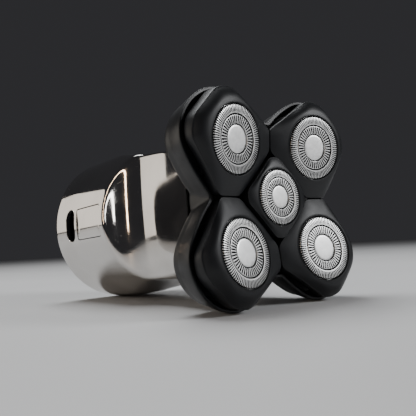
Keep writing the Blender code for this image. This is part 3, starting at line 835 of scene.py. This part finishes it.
def guard_mesh(r, flange_r, outer_slots, inner_slots):
    """A guard of two slotted rings, its radii as shares of r, with the slots' floors and walls and the
    groove between the rings painted near-black as painted shade.
    """
    depth, under = -0.6, -0.82
    outer = [
        same(0.705 * r, under),
        same(0.705 * r, -0.30),
        same(0.730 * r, -0.30),
        same(0.735 * r, 0.10),
        same(0.742 * r, 0.18),
        same(0.775 * r, 0.20),
        (0.780 * r, 0.20, 0.780 * r, depth),
        (0.840 * r, 0.22, 0.840 * r, depth),
        (0.930 * r, 0.19, 0.930 * r, depth),
        (0.975 * r, 0.10, 0.955 * r, depth),
        (0.995 * r, -0.06, 0.960 * r, depth),
        (r, -0.25, 0.962 * r, depth - 0.1),
        (r, -0.95, 0.962 * r, -0.95),
        same(r, -1.05),
        same(r, -2.9),
        same(flange_r, -2.9),
        same(flange_r, -3.5),
        same(r - 0.5, -3.5),
        same(r - 0.5, under),
    ]
    inner = [
        same(0.450 * r, -0.8),
        same(0.450 * r, -0.05),
        same(0.454 * r, 0.03),
        same(0.460 * r, 0.06),
        (0.464 * r, 0.06, 0.464 * r, depth),
        (0.570 * r, 0.12, 0.570 * r, depth),
        (0.672 * r, 0.08, 0.672 * r, depth),
        same(0.676 * r, 0.08),
        same(0.686 * r, 0.06),
        same(0.694 * r, -0.04),
        same(0.698 * r, -0.8),
    ]
    bm = loft(slotted_loft(outer, outer_slots, 0.44), closed=True)
    loft(slotted_loft(inner, inner_slots, 0.42, 4), closed=True, bm=bm)
    # Faces sunk below the guard's top, in the slots and in the groove between the rings, get the near-black
    # finish: painted shade
    for face in bm.faces:
        middle = face.calc_center_median()
        reach = hypot(middle.x, middle.y)
        if -0.94 < middle.z < -0.05 and 0.46 * r < reach < 0.99 * r:
            face.material_index = 1
    return bm


def cap_mesh(radius):
    """A satin disc with a fine rolled edge, on a skirt painted near-black: painted shade in the gap round
    the cap.
    """
    count = 120
    top = [(radius * 0.06, -0.10), (radius * 0.5, -0.105), (radius * 0.86, -0.12), (radius * 0.95, -0.15)]
    top += [(radius * 0.99, -0.22), (radius, -0.34), (radius, -0.50)]
    bm = turned(top, count)
    # The skirt is near-black: painted shade in the gap round the cap
    skirt = [(radius * 0.9, -0.52), (radius + 0.34, -0.52), (radius + 0.36, -0.56)]
    skirt += [(radius + 0.36, -0.75), (radius * 0.9, -0.75)]
    return turned(skirt, count, closed=True, bm=bm, material=1)


def make_cutter(name, matrix, guard_r, flange_r, outer_slots, inner_slots):
    """A guard and the cap in its middle. The blade behind them is the CAD's."""
    body = f"{name}_pod_set"
    bm = guard_mesh(guard_r, flange_r, outer_slots, inner_slots)
    guard = mesh_object(f"visual_{name}_guard", bm, [GUARD_STEEL, SLOT_PAINTED_SHADE], matrix)
    place(guard, body, [f"{name}_guard"])
    bm = cap_mesh(guard_r * 0.405)
    cap = mesh_object(f"visual_{name}_cap", bm, [CAP_SILVER, SLOT_PAINTED_SHADE], matrix)
    place(cap, body, [f"{name}_cap"])


def make_pods():
    for name, sx, sy in CORNERS:
        matrix = pod_frame(name, sx, sy)
        rules = (corner_pod_outline, corner_edge_drop, corner_underside)
        rules = (mirrored(rule, sx, sy) for rule in rules)
        flange = GUARD_R + CORNER_FLANGE
        bm = pod_mesh(*rules, GUARD_R + GAP, flange + GAP)
        pod = mesh_object(f"visual_{name}_pod", bm, [SATIN_BLACK], matrix)
        place(pod, f"{name}_pod_set", [f"{name}_pod"])
        make_cutter(name, matrix, GUARD_R, flange, 88, 44)
    matrix = pod_frame("centre", 0, 0)
    flange = CENTRE_GUARD_R + CENTRE_FLANGE
    rules = (centre_pod_outline, lambda a: CENTRE_ROLL, lambda a: -POD_DEPTH)
    bm = pod_mesh(*rules, CENTRE_GUARD_R + GAP, flange + GAP)
    pod = mesh_object("visual_centre_pod", bm, [SATIN_BLACK], matrix)
    place(pod, "centre_pod_set", ["centre_pod"])
    make_cutter("centre", matrix, CENTRE_GUARD_R, flange, 76, 38)


def base_outline(inset, waist_inset):
    """The four-lobed outline, drawn in by an inset, as a function of the angle from the middle."""

    def radius(angle):
        x, y = abs(cos(angle)), abs(sin(angle))
        a = atan2(y, x)
        off_axis = CORNER_REACH * sin(a - CORNER_ANGLE)
        arc = BASE_ARC - inset
        to_arc = CORNER_REACH * cos(a - CORNER_ANGLE) + sqrt(max(arc**2 - off_axis**2, 0.01))
        flanks = []
        for normal in (pi / 2 + FLANK_ANGLE, -FLANK_ANGLE):
            distance = CORNER_X * cos(normal) + CORNER_Y * sin(normal) + BASE_FLANK - inset
            flanks.append((normal, distance))
        lobe = soft_min([to_arc] + to_lines(a, flanks), 18)
        waist = 1 / hypot(x / (BASE_WAIST_X - waist_inset), y / (BASE_WAIST_Y - waist_inset))
        return soft_max([lobe, waist * 0.97], 26)

    return radius


def make_head_base():
    """The head base: rounded rim, tapering sides, rounded rear, spigot, and the hollow behind the pods."""
    count = 360
    edge, side_end, floor = 0.25, -14.0, -16.4
    side_inset, side_waist = 1.8, 0.65
    rings = []
    for k in range(6):
        turn = k / 5 * pi / 2
        inset = edge * (1 - sin(turn))
        z = BASE_FRONT - edge * (1 - cos(turn))
        rings.append(polar(base_outline(inset, inset), z, count))
    for share in (0.12, 0.3, 0.5, 0.7, 0.85, 1.0):
        z = BASE_FRONT - edge + (side_end - BASE_FRONT + edge) * share
        outline = base_outline(side_inset * share**1.3, side_waist * share**1.3)
        rings.append(polar(outline, z, count))
    for share in (0.2, 0.4, 0.6, 0.8, 0.92, 1.0):
        turn = share * pi / 2
        inset = side_inset + 2.0 * (1 - cos(turn))
        waist = side_waist + 1.15 * (1 - cos(turn))
        rings.append(polar(base_outline(inset, waist), side_end - 4.0 * sin(turn), count))
    inner_r = SPIGOT_R - 1.4
    turned_part = [(SPIGOT_R + 0.4, BASE_REAR), (SPIGOT_R, BASE_REAR - 0.4)]
    turned_part += [(SPIGOT_R, SPIGOT_END + 0.3), (SPIGOT_R - 0.3, SPIGOT_END)]
    turned_part += [(inner_r, SPIGOT_END), (inner_r, BASE_REAR), (5.0, BASE_REAR), (5.0, floor)]
    rings += [circle(r, z, count) for r, z in turned_part]
    rings.append(polar(base_outline(3.9, 2.2), floor, count))
    rings.append(polar(base_outline(BASE_WALL, BASE_WALL), BASE_FRONT, count))
    base = mesh_object("visual_head_base", loft(rings, closed=True), [BASE_BLACK], SHAVER)
    place(base, "head", ["head_base"])


# ---------------------------------------------------------------- stage


def make_floor():
    """A wide, plain, pale floor under the shaver."""
    bm = bmesh.new()
    bmesh.ops.create_grid(bm, x_segments=1, y_segments=1, size=2000)
    f = Finish("studio_floor", (0.62, 0.62, 0.62), 0.6)
    f.tones(f.noise(6, 3), (0.60, 0.60, 0.60), (0.64, 0.64, 0.64))
    floor = mesh_object("floor", bm, [f.material], Matrix.Translation((0, 0, cad_low.z)))


def area_light(name, location, target, size, power, colour=(1, 1, 1)):
    """A soft rectangular light that the camera doesn't see. Places and sizes are in metres."""
    data = bpy.data.lights.new(name, "AREA")
    data.shape = "RECTANGLE"
    data.size, data.size_y = size
    data.energy = power
    data.color = colour
    lamp = bpy.data.objects.new(name, data)
    bpy.context.scene.collection.objects.link(lamp)
    lamp.location = location
    lamp.rotation_euler = (Vector(target) - Vector(location)).to_track_quat("-Z", "Y").to_euler()
    lamp.visible_camera = False


def make_lights():
    middle = (0, 0, 0.035)
    head = (0, -0.05, 0.03)
    warm, cool, pale, copper = (1.0, 0.93, 0.84), (0.97, 0.98, 1.0), (0.96, 0.98, 1.0), (1.0, 0.74, 0.52)
    area_light("rear_left_panel", (-0.62, 0.72, 0.24), middle, (1.0, 0.46), 1.9, warm)
    area_light("key_softbox", (0.50, -0.62, 0.42), head, (0.34, 0.26), 4.2, cool)
    area_light("overhead_softbox", (0.02, 0.28, 0.80), middle, (0.62, 0.44), 7.0, pale)
    area_light("left_strip", (-0.80, -0.30, 0.28), middle, (0.03, 0.40), 0.6, copper)
    area_light("left_front_strip", (-0.62, -0.52, 0.30), middle, (0.03, 0.36), 0.3)
    world = bpy.data.worlds.new("studio")
    world.use_nodes = True
    background = world.node_tree.nodes["Background"]
    background.inputs["Color"].default_value = (0.05, 0.05, 0.055, 1)
    background.inputs["Strength"].default_value = 0.6
    bpy.context.scene.world = world


# Metres, in the world
CAMERA_AT = Vector((-0.1388, -0.1794, 0.0222))
CAMERA_TARGET = Vector((-0.0172, -0.0339, 0.0345))
CAMERA_ROLL = radians(-2.9)


def make_camera():
    """The camera at the photo's viewing angle, with a slight roll."""
    data = bpy.data.cameras.new("camera")
    data.lens = 47.96
    data.sensor_width = 36
    data.clip_start = 0.01
    camera = bpy.data.objects.new("camera", data)
    bpy.context.scene.collection.objects.link(camera)
    aim = (CAMERA_TARGET - CAMERA_AT).to_track_quat("-Z", "Y").to_matrix()
    turn = (aim @ Matrix.Rotation(CAMERA_ROLL, 3, "Z")).to_4x4()
    turn.translation = CAMERA_AT
    camera.matrix_world = turn
    bpy.context.scene.camera = camera


finish_nodes()
make_shell()
make_button()
make_slot_rim()
make_pins()
make_rear_cap()
make_head_base()
make_pods()
make_floor()
make_lights()
make_camera()
